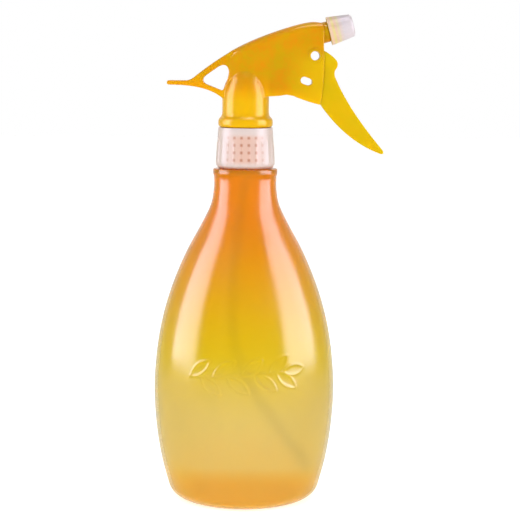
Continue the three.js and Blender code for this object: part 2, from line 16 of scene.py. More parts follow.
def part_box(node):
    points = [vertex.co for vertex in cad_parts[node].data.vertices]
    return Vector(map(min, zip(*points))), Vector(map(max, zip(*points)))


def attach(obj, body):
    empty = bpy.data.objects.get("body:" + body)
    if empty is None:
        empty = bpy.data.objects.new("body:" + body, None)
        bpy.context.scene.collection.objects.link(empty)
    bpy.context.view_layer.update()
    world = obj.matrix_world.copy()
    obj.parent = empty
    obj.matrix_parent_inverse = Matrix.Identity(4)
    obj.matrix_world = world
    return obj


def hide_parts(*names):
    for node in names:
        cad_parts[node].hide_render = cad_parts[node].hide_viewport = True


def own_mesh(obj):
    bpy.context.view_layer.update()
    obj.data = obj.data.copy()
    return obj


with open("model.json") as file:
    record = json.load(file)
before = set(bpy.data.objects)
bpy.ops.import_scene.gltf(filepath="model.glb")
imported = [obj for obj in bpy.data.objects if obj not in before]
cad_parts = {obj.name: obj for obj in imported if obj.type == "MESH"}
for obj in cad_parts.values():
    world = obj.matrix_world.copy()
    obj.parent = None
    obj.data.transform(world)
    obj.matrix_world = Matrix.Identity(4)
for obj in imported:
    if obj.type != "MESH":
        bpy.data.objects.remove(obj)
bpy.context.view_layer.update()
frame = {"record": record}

MM = 0.001
TURN = 2 * math.pi
JOINTS = {joint["name"]: joint for joint in frame["record"]["behaviour"]["joints"]}
BOTTLE_LOW, BOTTLE_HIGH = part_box("bottle")
AXIS_X = (BOTTLE_LOW.x + BOTTLE_HIGH.x) / 2


def from_axis(point):
    """A point of the frame, in millimetres from the foot of the bottle's axis."""
    return Vector(((point[0] - AXIS_X) / MM, point[1] / MM, point[2] / MM))


def depth_along(node, axis):
    """The span in millimetres that a CAD node takes on a line of the frame through the bottle's foot."""
    low, high = (from_axis(corner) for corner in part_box(node))
    return low[axis], high[axis]


# ------------------------------------------------------------------ dimensions, in millimetres

RIM_Z = BOTTLE_HIGH.z / MM
WALL = 1.1
LEDGE_Z = 173.2
NECK_RADIUS = 11.9
BORE_RADIUS = 10.2
BASE_RING = (26.5, 31.0)
BASE_CORNER = 9.0
PUNT_HEIGHT = 4.5
# Radius at height of the bottle's side, from the base corner up to the lip below the collar.
BOTTLE_SIDE = [
    (39.6, 6.3),
    (43.2, 20),
    (46, 37),
    (47.25, 57),
    (46, 77),
    (42.9, 95),
    (37.9, 112),
    (30.6, 129.5),
    (22.7, 144.2),
    (17.8, 154.5),
    (16.25, 163),
    (16.25, 168.5),
]
THREAD_PITCH = 3.8

COLLAR_BOTTOM, COLLAR_TOP = depth_along("screw_collar", 2)
COLLAR_SHOULDER = COLLAR_BOTTOM + 3
COLLAR_RIBS = 24

PIVOT = from_axis(JOINTS["trigger_squeeze"]["pos_m"])
BARREL_AXIS = Vector(JOINTS["nozzle_turn"]["axis"])
BARREL_TILT = math.atan2(BARREL_AXIS.z, BARREL_AXIS.x)
NOZZLE_POINT = from_axis(JOINTS["nozzle_turn"]["pos_m"])
BARREL_START_Z = NOZZLE_POINT.z - NOZZLE_POINT.x * math.tan(BARREL_TILT)
BARREL_FRAME = Matrix.Translation((0, 0, BARREL_START_Z)) @ Matrix.Rotation(-BARREL_TILT, 4, "Y")
ALONG_X = Matrix.Rotation(math.pi / 2, 4, "Y")

CYLINDER_Z = sum(depth_along("piston_cup_seal", 2)) / 2
CYLINDER_BACK = 5.6
PISTON_HEAD = 14.2
SHELL_WIDTH = 14.0
TRIGGER_WIDTH = 10.6


# ------------------------------------------------------------------ meshes

def new_object(name, vertices, faces):
    """A closed mesh in millimetres with its faces pointing out."""
    mesh = bpy.data.meshes.new(name)
    mesh.from_pydata([tuple(v) for v in vertices], [], faces)
    work = bmesh.new()
    work.from_mesh(mesh)
    bmesh.ops.remove_doubles(work, verts=work.verts, dist=1e-4)
    bmesh.ops.recalc_face_normals(work, faces=work.faces)
    work.to_mesh(mesh)
    work.free()
    obj = bpy.data.objects.new(name, mesh)
    bpy.context.scene.collection.objects.link(obj)
    return obj


def turned(name, profile, sides=96, relief=None, angles=None):
    """A profile of (radius, height) turned about Z. It runs from axis to axis, or closes on itself.
    relief(angle, radius, height, index) is added to the radius."""
    angles = angles or [TURN * i / sides for i in range(sides)]
    rings, vertices, faces = [], [], []
    for index, (radius, height) in enumerate(profile):
        if radius < 1e-6:
            rings.append([len(vertices)] * len(angles))
            vertices.append((0, 0, height))
            continue
        ring = []
        for angle in angles:
            r = radius + (relief(angle, radius, height, index) if relief else 0)
            ring.append(len(vertices))
            vertices.append((r * math.cos(angle), r * math.sin(angle), height))
        rings.append(ring)
    closed = profile[0][0] > 1e-6
    following = rings[1:] + rings[:1] if closed else rings[1:]
    for low, high in zip(rings, following):
        for i in range(len(angles)):
            j = (i + 1) % len(angles)
            corners = list(dict.fromkeys([low[i], low[j], high[j], high[i]]))
            if len(corners) > 2:
                faces.append(corners)
    return new_object(name, vertices, faces)


def softened(points, radius, steps=4, closed=True):
    """An outline with its corners rounded."""
    corners = [Vector(p) for p in points]
    made = []
    for i, corner in enumerate(corners):
        if not closed and i in (0, len(corners) - 1):
            made.append(corner)
            continue
        before = corners[i - 1] - corner
        after = corners[(i + 1) % len(corners)] - corner
        if (-before).angle(after) < 0.2:
            made.append(corner)
            continue
        cut = min(radius, 0.45 * before.length, 0.45 * after.length)
        start = corner + before.normalized() * cut
        end = corner + after.normalized() * cut
        for step in range(steps + 1):
            t = step / steps
            made.append((1 - t) ** 2 * start + 2 * t * (1 - t) * corner + t * t * end)
    return [tuple(p) for p in made]


def spline(points, count):
    """Points on the smooth curve through the given ones."""
    ends = [points[0], *points, points[-1]]
    made = []
    for step in range(count + 1):
        at = step / count * (len(points) - 1)
        i = min(int(at), len(points) - 2)
        t = at - i
        a, b, c, d = (Vector(p) for p in ends[i:i + 4])
        v0, v1 = (c - a) / 2, (d - b) / 2
        made.append(
            (2 * b - 2 * c + v0 + v1) * t ** 3 + (3 * c - 3 * b - 2 * v0 - v1) * t ** 2 + v0 * t + b
        )
    return made


class Outline:
    """An outline in the XZ plane, drawn with straight and curved strokes."""

    def __init__(self, x, z):
        self.points = [Vector((x, z))]

    def line(self, x, z):
        self.points.append(Vector((x, z)))
        return self

    def quad(self, cx, cz, x, z, steps=16):
        start, control, end = self.points[-1], Vector((cx, cz)), Vector((x, z))
        for step in range(1, steps + 1):
            t = step / steps
            self.points.append((1 - t) ** 2 * start + 2 * t * (1 - t) * control + t * t * end)
        return self

    def cubic(self, ax, az, bx, bz, x, z, steps=24):
        start, a, b, end = self.points[-1], Vector((ax, az)), Vector((bx, bz)), Vector((x, z))
        for step in range(1, steps + 1):
            t = step / steps
            u = 1 - t
            self.points.append(u ** 3 * start + 3 * u * u * t * a + 3 * u * t * t * b + t ** 3 * end)
        return self

    def arc(self, x, z, radius, start, end, steps=16):
        for step in range(steps + 1):
            angle = start + (end - start) * step / steps
            self.points.append(Vector((x + radius * math.cos(angle), z + radius * math.sin(angle))))
        return self


def slab(name, points, width, bevel=0.0, segments=3):
    """An outline in the XZ plane, as points, made into a plate of that width with its long edges rounded."""
    work = bmesh.new()
    near = [work.verts.new((p[0], -width / 2, p[1])) for p in points]
    bottom = work.faces.new(near)
    made = bmesh.ops.extrude_face_region(work, geom=[bottom])
    moved = [v for v in made["geom"] if isinstance(v, bmesh.types.BMVert)]
    bmesh.ops.translate(work, verts=moved, vec=(0, width, 0))
    bmesh.ops.remove_doubles(work, verts=work.verts, dist=1e-4)
    if bevel:
        rims = [e for e in work.edges if abs(e.verts[0].co.y - e.verts[1].co.y) < 1e-6]
        bmesh.ops.bevel(work, geom=rims, offset=bevel, segments=segments, profile=0.5, affect="EDGES")
    bmesh.ops.recalc_face_normals(work, faces=work.faces)
    mesh = bpy.data.meshes.new(name)
    work.to_mesh(mesh)
    work.free()
    obj = bpy.data.objects.new(name, mesh)
    bpy.context.scene.collection.objects.link(obj)
    return obj


def swept(name, path, radius, sides=10, bore=0.0):
    """A round wire along a path of points, or a tube where it has a bore."""
    frames = []
    normal = Vector((0, 1, 0))
    for i, point in enumerate(path):
        ahead = (path[min(i + 1, len(path) - 1)] - path[max(i - 1, 0)]).normalized()
        normal = (normal - ahead * normal.dot(ahead)).normalized()
        frames.append((point, normal.copy(), ahead.cross(normal)))
    vertices, faces = [], []

    def skin(r, flip):
        first = len(vertices)
        for point, n, b in frames:
            for k in range(sides):
                angle = TURN * k / sides
                vertices.append(point + n * r * math.cos(angle) + b * r * math.sin(angle))
        for i in range(len(frames) - 1):
            for k in range(sides):
                low, high = first + i * sides, first + (i + 1) * sides
                face = [low + k, low + (k + 1) % sides, high + (k + 1) % sides, high + k]
                faces.append(face[::-1] if flip else face)
        return [list(range(first, first + sides)), list(range(len(vertices) - sides, len(vertices)))]

    outer = skin(radius, False)
    if not bore:
        faces.extend(outer)
        return new_object(name, vertices, faces)
    inner = skin(bore, True)
    for out_ring, in_ring in zip(outer, inner):
        for k in range(sides):
            j = (k + 1) % sides
            faces.append([out_ring[k], out_ring[j], in_ring[j], in_ring[k]])
    return new_object(name, vertices, faces)


def box(name, low, high):
    """A block between two corners, used only to cut or join."""
    size = [b - a for a, b in zip(low, high)]
    work = bmesh.new()
    middle = Matrix.Translation([(a + b) / 2 for a, b in zip(low, high)])
    bmesh.ops.create_cube(work, size=1, matrix=middle @ Matrix.Diagonal((*size, 1)))
    mesh = bpy.data.meshes.new(name)
    work.to_mesh(mesh)
    work.free()
    obj = bpy.data.objects.new(name, mesh)
    bpy.context.scene.collection.objects.link(obj)
    return obj


def rod(radius, low, high, sides=64, matrix=None):
    """A plain cylinder along Z between two heights, used only to cut or join."""
    made = turned("rod", [(0, low), (radius, low), (radius, high), (0, high)], sides)
    if matrix:
        made.data.transform(matrix)
    return made


def apply_modifiers(obj):
    """Makes the result of an object's modifiers its own mesh."""
    depsgraph = bpy.context.evaluated_depsgraph_get()
    made = bpy.data.meshes.new_from_object(obj.evaluated_get(depsgraph), depsgraph=depsgraph)
    obj.modifiers.clear()
    obj.data = made


def combine(obj, tools, operation):
    """Joins, cuts or crosses a solid with others, which are used up."""
    for tool in tools:
        modifier = obj.modifiers.new("combine", "BOOLEAN")
        modifier.operation = operation
        modifier.solver = "MANIFOLD"
        modifier.object = tool
        apply_modifiers(obj)
        bpy.data.objects.remove(tool)
    return obj


def moulded(obj, voxel, rounds):
    """Remeshes a joined solid finely and smooths it, which gives every edge and corner a moulded radius."""
    remesh = obj.modifiers.new("remesh", "REMESH")
    remesh.mode = "VOXEL"
    remesh.voxel_size = voxel
    smooth = obj.modifiers.new("smooth", "SMOOTH")
    smooth.factor = 0.5
    smooth.iterations = rounds
    apply_modifiers(obj)
    return obj


def finish_piece(obj, node, body, material, sharp=35.0, parent_frame=None):
    """Puts a piece in the frame, in place of its CAD node, on its body."""
    if parent_frame:
        obj.data.transform(parent_frame)
    obj.data.transform(Matrix.Translation((AXIS_X, 0, 0)) @ Matrix.Scale(MM, 4))
    obj.data.polygons.foreach_set("use_smooth", [True] * len(obj.data.polygons))
    obj.data.set_sharp_from_angle(angle=math.radians(sharp))
    obj.data.materials.clear()
    obj.data.materials.append(material)
    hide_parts(node)
    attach(obj, body)
    return obj


def bump_at(distance, width):
    """A rounded ridge: 1 at its middle and 0 a width away."""
    t = min(abs(distance) / width, 1)
    return 0.5 + 0.5 * math.cos(math.pi * t)


def thread(angle, height, start, turns, pitch, width):
    """How high a right-hand thread's ridge stands at a place, from 0 to 1. Its ends run out smoothly."""
    along = (height - start) / pitch
    made = 0.0
    share = (angle % TURN) / TURN
    for turn in (math.floor(along - share), math.ceil(along - share)):
        at = turn + share
        if 0 <= at <= turns:
            runout = min(1, at / 0.1, (turns - at) / 0.1)
            made = max(made, runout * bump_at((along - at) * pitch, width))
    return made


# ------------------------------------------------------------------ materials

def node_material(name, roughness, **values):
    """A Principled material with its constants on the shader's own sockets."""
    material = bpy.data.materials.new(name)
    material.use_nodes = True
    shader = material.node_tree.nodes["Principled BSDF"]
    shader.inputs["Roughness"].default_value = roughness
    for socket, value in values.items():
        shader.inputs[socket.replace("_", " ")].default_value = value
    return material, material.node_tree, shader


def linear(red, green, blue):
    """A screen colour of 0 to 255 as the shader's linear one."""
    def one(value):
        share = value / 255
        return share / 12.92 if share <= 0.04045 else ((share + 0.055) / 1.055) ** 2.4
    return (one(red), one(green), one(blue), 1.0)


def metres(span):
    return tuple(value * MM for value in span)


def object_point(tree):
    return tree.nodes.new("ShaderNodeTexCoord").outputs["Object"]


def noise(tree, scale, detail=3.0, roughness=0.5):
    """Even noise over the object, with about that many grains per metre."""
    made = tree.nodes.new("ShaderNodeTexNoise")
    made.inputs["Scale"].default_value = scale
    made.inputs["Detail"].default_value = detail
    made.inputs["Roughness"].default_value = roughness
    tree.links.new(object_point(tree), made.inputs["Vector"])
    return made.outputs["Fac"]


def ranged(tree, value, low, high, source=(0.0, 1.0)):
    """A value carried from one range to another."""
    made = tree.nodes.new("ShaderNodeMapRange")
    made.inputs["From Min"].default_value = source[0]
    made.inputs["From Max"].default_value = source[1]
    made.inputs["To Min"].default_value = low
    made.inputs["To Max"].default_value = high
    tree.links.new(value, made.inputs["Value"])
    return made.outputs["Result"]


def ramp(tree, value, stops):
    """Colours at places from 0 to 1."""
    made = tree.nodes.new("ShaderNodeValToRGB")
    made.color_ramp.interpolation = "B_SPLINE"
    elements = made.color_ramp.elements
    while len(elements) < len(stops):
        elements.new(0.5)
    for element, (place, colour) in zip(elements, stops):
        element.position = place
        element.color = colour
    tree.links.new(value, made.inputs["Fac"])
    return made.outputs["Color"]


def mixed(tree, factor, first, second):
    made = tree.nodes.new("ShaderNodeMix")
    made.data_type = "RGBA"
    for socket, value in ((made.inputs[0], factor), (made.inputs[6], first), (made.inputs[7], second)):
        if isinstance(value, bpy.types.NodeSocket):
            tree.links.new(value, socket)
        else:
            socket.default_value = value
    return made.outputs[2]


def coordinate(tree, axis, point=None):
    split = tree.nodes.new("ShaderNodeSeparateXYZ")
    tree.links.new(point or object_point(tree), split.inputs["Vector"])
    return split.outputs[axis]


def computed(tree, operation, *values):
    """One step of arithmetic on numbers and on other nodes' results."""
    made = tree.nodes.new("ShaderNodeMath")
    made.operation = operation
    for socket, value in zip(made.inputs, values):
        if isinstance(value, bpy.types.NodeSocket):
            tree.links.new(value, socket)
        else:
            socket.default_value = value
    return made.outputs["Value"]


def height_share(tree, axis, low, high):
    """0 to 1 between two places on an axis, in millimetres from the foot of the bottle's axis."""
    shift = AXIS_X if axis == "X" else 0.0
    return ranged(tree, coordinate(tree, axis), 0, 1, (low * MM + shift, high * MM + shift))


def product(tree, first, second):
    return computed(tree, "MULTIPLY", first, second)


def wave(tree, value, cycles, shift=0.0):
    """0 to 1 and back, that many times over each unit of a value. It is 1 where the value is the shift."""
    turn = computed(tree, "MULTIPLY_ADD", value, TURN * cycles, -TURN * cycles * shift)
    return ranged(tree, computed(tree, "COSINE", turn), 0, 1, (-1, 1))


def moulded_surface(tree, shader, tint, grain, depth, roughness, spread):
    """The colour of a material, and its faint unevenness in shape and in gloss."""
    tree.links.new(tint, shader.inputs["Base Color"])
    bump = tree.nodes.new("ShaderNodeBump")
    bump.inputs["Strength"].default_value = 1.0
    bump.inputs["Distance"].default_value = depth
    tree.links.new(noise(tree, grain), bump.inputs["Height"])
    tree.links.new(bump.outputs["Normal"], shader.inputs["Normal"])
    uneven = ranged(tree, noise(tree, grain / 4), roughness - spread, roughness + spread, (0.3, 0.7))
    tree.links.new(uneven, shader.inputs["Roughness"])


# Colour of the bottle at heights in millimetres: orange at the neck, paling to straw, then the deeper base.
BOTTLE_TINTS = [
    (0, (254, 232, 116)),
    (5, (254, 224, 100)),
    (11, (254, 218, 90)),
    (17, (252, 222, 110)),
    (24, (248, 226, 136)),
    (50, (244, 225, 140)),
    (66, (246, 225, 108)),
    (76, (245, 222, 36)),
    (86, (245, 219, 0)),
    (106, (248, 207, 0)),
    (128, (252, 189, 0)),
    (150, (255, 172, 0)),
    (190, (255, 165, 0)),
]
# Painted shade at the base: the floor's deeper orange is partly the thicker plastic's own colour, and is
# darkened as shade, also where it shows through the wall.
BASE_TINT_AND_SHADE = (253, 190, 46)
FLOOR_SHADE_TINT = (254, 208, 92)
SHADE_ARCH = 0.29  # how far the patch rises for each unit of distance in front of the axis or behind it
SHADE_EDGE = (3.5, 12)
SHADE_DEPTH = (8, 21)
FLOOR_RADIUS = (28, 32)
FLOOR_TOP = (14, 11)


def seen_floor_shade(tree):
    """Painted shade: the darker floor seen through the front and the back of the wall, highest at the middle.
    """
    depth = computed(tree, "ABSOLUTE", coordinate(tree, "Y"))
    arch = computed(tree, "MULTIPLY_ADD", depth, -SHADE_ARCH, coordinate(tree, "Z"))
    below = ranged(tree, arch, 1, 0, metres(SHADE_EDGE))
    return product(tree, below, ranged(tree, depth, 0, 1, metres(SHADE_DEPTH)))


def distance_from_axis(tree):
    flat = tree.nodes.new("ShaderNodeVectorMath")
    flat.operation = "MULTIPLY"
    flat.inputs[1].default_value = (1, 1, 0)
    tree.links.new(object_point(tree), flat.inputs[0])
    radius = tree.nodes.new("ShaderNodeVectorMath")
    radius.operation = "DISTANCE"
    radius.inputs[1].default_value = (AXIS_X, 0, 0)
    tree.links.new(flat.outputs["Vector"], radius.inputs[0])
    return radius.outputs["Value"]


def bottle_material():
    """Translucent satin plastic, tinted orange at the neck and paling downwards, with painted shade at the
    base.
    """
    material, tree, shader = node_material(
        "bottle_amber_translucent", 0.2, IOR=1.5, Transmission_Weight=0.62, Specular_IOR_Level=0.3
    )
    drift = ranged(tree, noise(tree, 14, 2), -0.012, 0.012)
    height = computed(tree, "ADD", height_share(tree, "Z", 0, RIM_Z), drift)
    wall = ramp(tree, height, [(z / RIM_Z, linear(*tint)) for z, tint in BOTTLE_TINTS])
    # Painted shade: the floor darker near the axis, and a darker patch where it shows through the wall.
    near_axis = ranged(tree, distance_from_axis(tree), 1, 0, metres(FLOOR_RADIUS))
    foot = product(tree, near_axis, height_share(tree, "Z", *FLOOR_TOP))
    wall = mixed(tree, seen_floor_shade(tree), wall, linear(*FLOOR_SHADE_TINT))
    tint = mixed(tree, foot, wall, linear(*BASE_TINT_AND_SHADE))
    moulded_surface(tree, shader, tint, 160, 0.00003, 0.2, 0.04)
    return material


AMBER_SHINE = (1.0, 0.8, 0.2, 1.0)
FRONT_TINT = (242, 200, 0)
DOME_TINT = (246, 180, 0)
NECK_TINT = (252, 203, 0)


def amber_shader(name, transmission):
    """Translucent injection-moulded plastic whose shine takes its own colour."""
    return node_material(
        name, 0.36, IOR=1.49, Transmission_Weight=transmission, Specular_IOR_Level=0.35,
        Specular_Tint=AMBER_SHINE, Coat_Weight=0.3, Coat_Roughness=0.12, Coat_Tint=AMBER_SHINE,
        Subsurface_Weight=0.3, Subsurface_Radius=(1.0, 0.6, 0.1), Subsurface_Scale=0.004
    )


def amber_material(name, main, olive, transmission):
    """The head's plastic, with clouds of deeper colour where the wall is thick."""
    material, tree, shader = amber_shader(name, transmission)
    clouds = ranged(tree, noise(tree, 110, 6, 0.7), 0, 1, (0.36, 0.64))
    tint = mixed(tree, clouds, linear(*main), linear(*olive))
    front = product(tree, height_share(tree, "X", 20, 36), height_share(tree, "Z", 238, 228))
    tint = mixed(tree, front, tint, linear(*FRONT_TINT))
    dome = product(tree, height_share(tree, "X", 13, 11), height_share(tree, "Z", 224, 214))
    tint = mixed(tree, dome, tint, linear(*DOME_TINT))
    tint = mixed(tree, height_share(tree, "Z", 215, 208), tint, linear(*NECK_TINT))
    moulded_surface(tree, shader, tint, 500, 0.00002, 0.36, 0.05)
    return material


def trigger_material():
    """The same plastic in the trigger's thinner, yellower walls."""
    material, tree, shader = amber_shader("amber_trigger", 0.35)
    clouds = ranged(tree, noise(tree, 60, 4, 0.6), 0, 1, (0.38, 0.62))
    tint = mixed(tree, clouds, linear(238, 204, 0), linear(230, 207, 0))
    moulded_surface(tree, shader, tint, 500, 0.00002, 0.36, 0.05)
    return material


def frosted_plastic(name, milky, clearer, tint_with):
    """Milky translucent polypropylene, through which the coloured plastic behind it shows in places, with
    painted shade in the collar's thread dots.
    """
    material, tree, shader = node_material(
        name, 0.36, IOR=1.49, Transmission_Weight=0.32, Specular_IOR_Level=0.35
    )
    clear = mixed(tree, noise(tree, 90, 2), linear(*milky), linear(*clearer))
    moulded_surface(tree, shader, tint_with(tree, clear), 700, 0.00002, 0.36, 0.05)
    return material


def collar_tint_and_thread_shade(tree, clear):
    """Pale orange where the thread behind shows through, on the front and the back, with painted shade
    deepest where a thread groove crosses the trough between two ribs.
    """
    centre = computed(tree, "SUBTRACT", coordinate(tree, "X"), AXIS_X)
    angle = computed(tree, "ARCTAN2", coordinate(tree, "Y"), centre)
    # The warm colour and the painted shade lie only on the front and the back.
    facing = ranged(tree, wave(tree, angle, 2 / TURN, TURN / 4), 0, 1, (0.45, 1.0))
    columns = wave(tree, angle, COLLAR_RIBS / TURN, TURN / COLLAR_RIBS / 2)
    grooves = wave(tree, coordinate(tree, "Z"), 1 / (THREAD_PITCH * MM), 178.2 * MM)
    inside = product(tree, height_share(tree, "Z", 191.5, 189.5), height_share(tree, "Z", 175.5, 177.5))
    seen = product(tree, inside, facing)
    thread_shade_dots = product(tree, ranged(tree, columns, 0, 1, (0.45, 0.95)), ranged(tree, grooves, 0, 1, (0.4, 0.95)))
    warm = mixed(tree, seen, clear, linear(243, 205, 188))
    # Painted shade: brown dots where a thread groove crosses the trough between two ribs.
    return mixed(tree, product(tree, seen, thread_shade_dots), warm, linear(206, 142, 112))


def nozzle_tint(tree, clear):
    """Yellow and pink rings over the back of the cap, where the barrel's thread shows through."""
    along = tree.nodes.new("ShaderNodeVectorMath")
    along.operation = "DOT_PRODUCT"
    along.inputs[1].default_value = tuple(BARREL_AXIS)
    tree.links.new(object_point(tree), along.inputs[0])
    start = Vector((AXIS_X, 0, BARREL_START_Z * MM)).dot(BARREL_AXIS)
    pitch = 2.6 * MM
    rings = wave(tree, along.outputs["Value"], 1 / pitch, start + 46.4 * MM)
    back = ranged(tree, along.outputs["Value"], 1, 0, (start + 47.5 * MM, start + 51.5 * MM))
    tint = mixed(tree, rings, linear(246, 210, 192), linear(240, 226, 146))
    return mixed(tree, back, clear, tint)


def natural_material():
    """Uncoloured polyethylene of the inner pieces."""
    material, tree, shader = node_material(
        "natural_polyethylene", 0.4, IOR=1.4, Transmission_Weight=0.6, Specular_IOR_Level=0.4
    )
    tint = mixed(tree, noise(tree, 120, 2), linear(250, 246, 232), linear(246, 240, 222))
    moulded_surface(tree, shader, tint, 800, 0.00002, 0.4, 0.06)
    return material


def rubber_material():
    """Pale grey sealing rubber with a dull, faintly dusty skin."""
    material, tree, shader = node_material(
        "sealing_rubber", 0.7, IOR=1.5, Sheen_Weight=0.2, Sheen_Roughness=0.5
    )
    tint = mixed(tree, noise(tree, 300, 4), linear(206, 202, 194), linear(224, 220, 212))
    moulded_surface(tree, shader, tint, 1500, 0.00003, 0.7, 0.08)
    return material


def steel_material():
    """Drawn stainless spring wire."""
    material, tree, shader = node_material("spring_wire_steel", 0.28, Metallic=1.0, Anisotropic=0.4)
    tint = mixed(tree, noise(tree, 900, 2), linear(196, 198, 200), linear(168, 171, 175))
    moulded_surface(tree, shader, tint, 3000, 0.00001, 0.28, 0.08)
    return material


def glass_material():
    """Polished glass of the valve balls, with a faint green cast."""
    material, tree, shader = node_material("valve_ball_glass", 0.05, IOR=1.52, Transmission_Weight=0.9)
    tint = mixed(tree, noise(tree, 400, 2), linear(236, 246, 242), linear(226, 240, 234))
    moulded_surface(tree, shader, tint, 1200, 0.000004, 0.05, 0.02)
    return material


AMBER = amber_material("amber_head", (235, 158, 0), (219, 180, 0), 0.3)
AMBER_TRIGGER = trigger_material()
BOTTLE_AMBER = bottle_material()
FROSTED_COLLAR = frosted_plastic("frosted_collar", (238, 220, 214), (243, 228, 223), collar_tint_and_thread_shade)
FROSTED_NOZZLE = frosted_plastic("frosted_nozzle", (228, 216, 222), (234, 225, 230), nozzle_tint)
NATURAL = natural_material()
RUBBER = rubber_material()
STEEL = steel_material()
GLASS = glass_material()


# ------------------------------------------------------------------ bottle

def leaf_line(u, v, x, z, turn, length, width):
    """Distance from the outline of a pointed leaf with its foot at (x, z)."""
    middle_x = x + length / 2 * math.cos(turn)
    middle_z = z + length / 2 * math.sin(turn)
    du, dv = u - middle_x, v - middle_z
    across = abs(-du * math.sin(turn) + dv * math.cos(turn))
    along = abs(du * math.cos(turn) + dv * math.sin(turn))
    radius = ((length / 2) ** 2 + (width / 2) ** 2) / width
    offset = radius - width / 2
    if (along - length / 2) * offset > across * length / 2:
        return math.hypot(across, along - length / 2)
    return abs(math.hypot(across + offset, along) - radius)


SPRIG_Z = 72.5
SPRIG_HALF = 29.0
SPRIG_LEAVES = [(-28, 1), (-22, -1), (-15, 1), (-8, -1), (-1, 1), (6, -1), (13, 1), (17, -1)]


def sprig_stem(u):
    """Height of the sprig's stem, a slow wave."""
    return 1.6 * math.sin(u / SPRIG_HALF * 1.5)


def sprig_relief(angle, height):
    """The raised lines of a plain leaf sprig on the bottle's front."""
    u = (angle - 1.5 * math.pi) * 46.5
    v = height - SPRIG_Z
    if abs(u) > SPRIG_HALF + 8 or abs(v) > 13:
        return 0.0
    nearest = 9.0
    if -SPRIG_HALF < u < SPRIG_HALF - 8:
        nearest = abs(v - sprig_stem(u))
    for foot, side in SPRIG_LEAVES:
        turn = side * math.radians(38)
        nearest = min(nearest, leaf_line(u, v, foot, sprig_stem(foot), turn, 13.5, 5.2))
    nearest = min(nearest, leaf_line(u, v, SPRIG_HALF - 8, sprig_stem(SPRIG_HALF - 8), 0.1, 12, 5))
    return 0.42 * math.exp(-((nearest / 0.62) ** 2))


def bottle():
    """The blow-moulded bottle, with neck thread, lip, raised sprig, rounded base corner and raised middle."""
    ring_in, ring_out = BASE_RING
    up = math.radians(-17)
    corner = [
        (ring_out + BASE_CORNER * math.cos(a), BASE_CORNER + BASE_CORNER * math.sin(a))
        for a in [-math.pi / 2 + (up + math.pi / 2) * i / 12 for i in range(12)]
    ]
    fine = spline(BOTTLE_SIDE, 900)
    outer, last = [], -9.0
    for point in fine:
        step = 0.45 if abs(point.y - SPRIG_Z) < 13 else 1.5
        if point.y - last >= step:
            outer.append(tuple(point))
            last = point.y
    lip = softened(
        [(16.25, 169.2), (16.75, 170.6), (16.75, LEDGE_Z), (NECK_RADIUS, LEDGE_Z), (NECK_RADIUS, 174.6)],
        0.7, closed=False,
    )
    neck = [(NECK_RADIUS, 174.8 + 0.3 * i) for i in range(49)]
    rim = softened([
        (NECK_RADIUS, 189.5), (NECK_RADIUS, RIM_Z), (BORE_RADIUS, RIM_Z), (BORE_RADIUS, 188)
    ], 0.3, closed=False)
    inner = []
    for i in range(5, len(fine) - 8, 9):
        ahead = (fine[i + 1] - fine[i - 1]).normalized()
        inner.append((fine[i].x - WALL * ahead.y, fine[i].y + WALL * ahead.x))
    throat = softened(
        [(BORE_RADIUS, 180), (BORE_RADIUS, LEDGE_Z - WALL), (16.25 - WALL, LEDGE_Z - WALL - 1.2), inner[-1]],
        1.0, closed=False,
    )[:-1]
    base_inside = softened(
        [inner[0], (ring_out + 5.2, 2.9), (ring_out, WALL), (ring_in, WALL + 0.1),
         (ring_in - 6, PUNT_HEIGHT - 1 + WALL), (0, PUNT_HEIGHT + WALL)],
        3.0, 6, closed=False,
    )[1:]
    base_outside = softened(
        [(0, PUNT_HEIGHT), (ring_in - 6, PUNT_HEIGHT - 1), (ring_in, 0), (ring_out, 0)], 3.0, 6, closed=False
    )[:-1]
    skin = base_outside + corner + outer + lip + neck
    profile = skin + rim + throat + inner[::-1] + base_inside
    skin_end = len(skin)

    def relief(angle, radius, height, index):
        if index >= skin_end:
            return 0.0
        if height > 174.9 and radius < NECK_RADIUS + 0.1:
            return 0.75 * thread(angle, height, 177, 2.75, THREAD_PITCH, 1.05)
        if abs(height - SPRIG_Z) < 13 and radius > 40:
            return sprig_relief(angle, height)
        return 0.0

    front = 1.5 * math.pi
    half = math.radians(46)
    fine_angles = [front - half + 2 * half * i / 200 for i in range(200)]
    rest_angles = [front + half + (TURN - 2 * half) * i / 110 for i in range(110)]
    made = turned("bottle_shell", profile, relief=relief, angles=fine_angles + rest_angles)
    finish_piece(made, "bottle", "bottle_body", BOTTLE_AMBER)


# ------------------------------------------------------------------ collar and gasket

